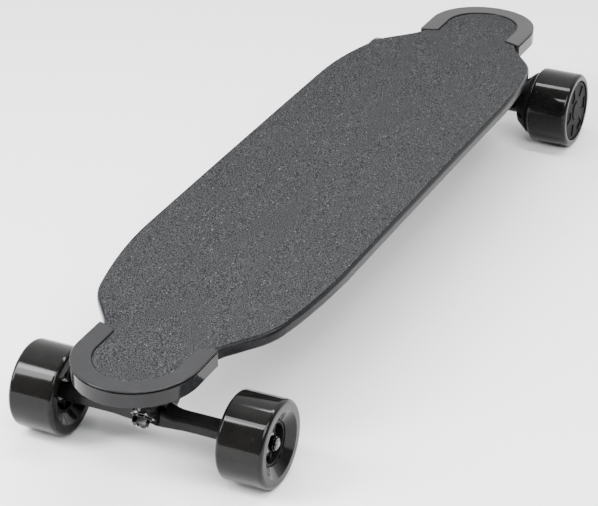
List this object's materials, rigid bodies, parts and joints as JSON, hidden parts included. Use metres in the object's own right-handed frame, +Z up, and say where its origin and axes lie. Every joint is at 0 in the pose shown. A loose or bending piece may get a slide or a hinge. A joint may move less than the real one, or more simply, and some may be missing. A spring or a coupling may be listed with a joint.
{
  "type": "electric skateboard",
  "caption": "Low electric longboard with a dished black deck, grip surface, bumpered ends, sprung steering trucks, hub-motor rear wheels and a slim battery case underneath.",
  "frame": {"origin": "on the ground, midway between the axles and midway between left and right wheels", "axes": "+X towards the nose (the end without motors), +Y to the left wheels, +Z up"},
  "size_m": [1.02, 0.2772, 0.1311],
  "materials": {
    "deck_wood": "satin black lacquer",
    "grip": "coarse abrasive grit on dark grey sheet",
    "bumper": "satin moulded plastic",
    "black_steel": "black oxide",
    "soft_rubber": "matte",
    "case_plastic": "fine textured plastic",
    "cell_wrap": "shrink-wrapped cells",
    "holder_plastic": "foam black",
    "circuit_board": "solder mask",
    "black_aluminium": "black anodised",
    "button_plastic": "satin",
    "cable_jacket": "matte jacket",
    "bright_steel": "zinc plated",
    "chrome_nut": "polished plating",
    "truck_black": "satin black coating on cast metal",
    "lamination_steel": "laminated steel",
    "copper": "enamelled copper wire",
    "bushing_urethane": "cast urethane",
    "wheel_urethane": "gloss cast urethane",
    "wheel_core": "satin moulded nylon",
    "magnet_nickel": "nickel plated",
    "motor_cover": "satin black anodised"
  },
  "bodies": {
    "board": {"deck": "deck_wood", "grip_tape": "grip", "nose_bumper": "bumper", "tail_bumper": "bumper", "bumper_screws": "black_steel", "riser_pads": "soft_rubber", "truck_bolts": "black_steel", "front_baseplate": "truck_black", "front_pivot_cup": "soft_rubber", "front_kingpin": "bright_steel", "front_kingpin_nut": "chrome_nut", "front_bushing_washers": "bright_steel", "front_bushings": "bushing_urethane", "rear_baseplate": "truck_black", "rear_pivot_cup": "soft_rubber", "rear_kingpin": "bright_steel", "rear_kingpin_nut": "chrome_nut", "rear_bushing_washers": "bright_steel", "rear_bushings": "bushing_urethane", "case_shell": "case_plastic", "case_gasket": "soft_rubber", "case_screws": "black_steel", "cable_glands": "soft_rubber", "battery_cells": "cell_wrap", "battery_holder": "holder_plastic", "bms_board": "circuit_board", "controller_board": "circuit_board", "controller_heatsink": "black_aluminium", "button_housing": "bright_steel", "charge_socket": "case_plastic", "motor_cable_left": "cable_jacket", "motor_cable_right": "cable_jacket"},
    "front_truck": {"front_hanger": "truck_black", "front_axle": "bright_steel", "front_speed_washers": "bright_steel", "front_axle_nuts": "chrome_nut"},
    "rear_truck": {"rear_hanger": "truck_black", "motor_shafts": "bright_steel", "stator_cores": "lamination_steel", "stator_windings": "copper"},
    "button": {"power_button": "button_plastic"},
    "port_cover": {"charge_flap": "case_plastic"},
    "front_left_wheel": {"front_left_tyre": "wheel_urethane", "front_left_core": "wheel_core", "front_left_bearings": "bright_steel"},
    "rear_left_wheel": {"rear_left_tyre": "wheel_urethane", "rear_left_rotor_can": "lamination_steel", "rear_left_magnets": "magnet_nickel", "rear_left_outer_cover": "motor_cover", "rear_left_inner_cover": "motor_cover", "rear_left_bearings": "bright_steel"},
    "front_right_wheel": {"front_right_tyre": "wheel_urethane", "front_right_core": "wheel_core", "front_right_bearings": "bright_steel"},
    "rear_right_wheel": {"rear_right_tyre": "wheel_urethane", "rear_right_rotor_can": "lamination_steel", "rear_right_magnets": "magnet_nickel", "rear_right_outer_cover": "motor_cover", "rear_right_inner_cover": "motor_cover", "rear_right_bearings": "bright_steel"}
  },
  "joints": [
    {"name": "front_steer", "type": "hinge", "parent": "board", "child": "front_truck", "pos_m": [0.4263, 0, 0.0667], "axis": [0.7071, 0, 0.7071], "range_deg": [-14, 14], "stiffness_Nm_per_rad": 60, "deforming": ["front_bushings"]},
    {"name": "rear_steer", "type": "hinge", "parent": "board", "child": "rear_truck", "pos_m": [-0.4263, 0, 0.0667], "axis": [-0.7071, 0, 0.7071], "range_deg": [-14, 14], "stiffness_Nm_per_rad": 60, "deforming": ["rear_bushings", "motor_cable_left", "motor_cable_right"]},
    {"name": "front_left_wheel_spin", "type": "hinge", "parent": "front_truck", "child": "front_left_wheel", "pos_m": [0.419, 0.1136, 0.045], "axis": [0, 1, 0], "continuous": true},
    {"name": "front_right_wheel_spin", "type": "hinge", "parent": "front_truck", "child": "front_right_wheel", "pos_m": [0.419, -0.1136, 0.045], "axis": [0, 1, 0], "continuous": true},
    {"name": "rear_left_wheel_spin", "type": "hinge", "parent": "rear_truck", "child": "rear_left_wheel", "pos_m": [-0.419, 0.1136, 0.045], "axis": [0, 1, 0], "continuous": true},
    {"name": "rear_right_wheel_spin", "type": "hinge", "parent": "rear_truck", "child": "rear_right_wheel", "pos_m": [-0.419, -0.1136, 0.045], "axis": [0, 1, 0], "continuous": true},
    {"name": "power_button_press", "type": "slide", "parent": "board", "child": "button", "axis": [0, 1, 0], "range_m": [0, 0.0015], "stiffness_N_per_m": 900},
    {"name": "port_cover_swing", "type": "hinge", "parent": "board", "child": "port_cover", "pos_m": [-0.215, -0.0788, 0.1006], "axis": [-1, 0, 0], "range_deg": [0, 85]}
  ]
}
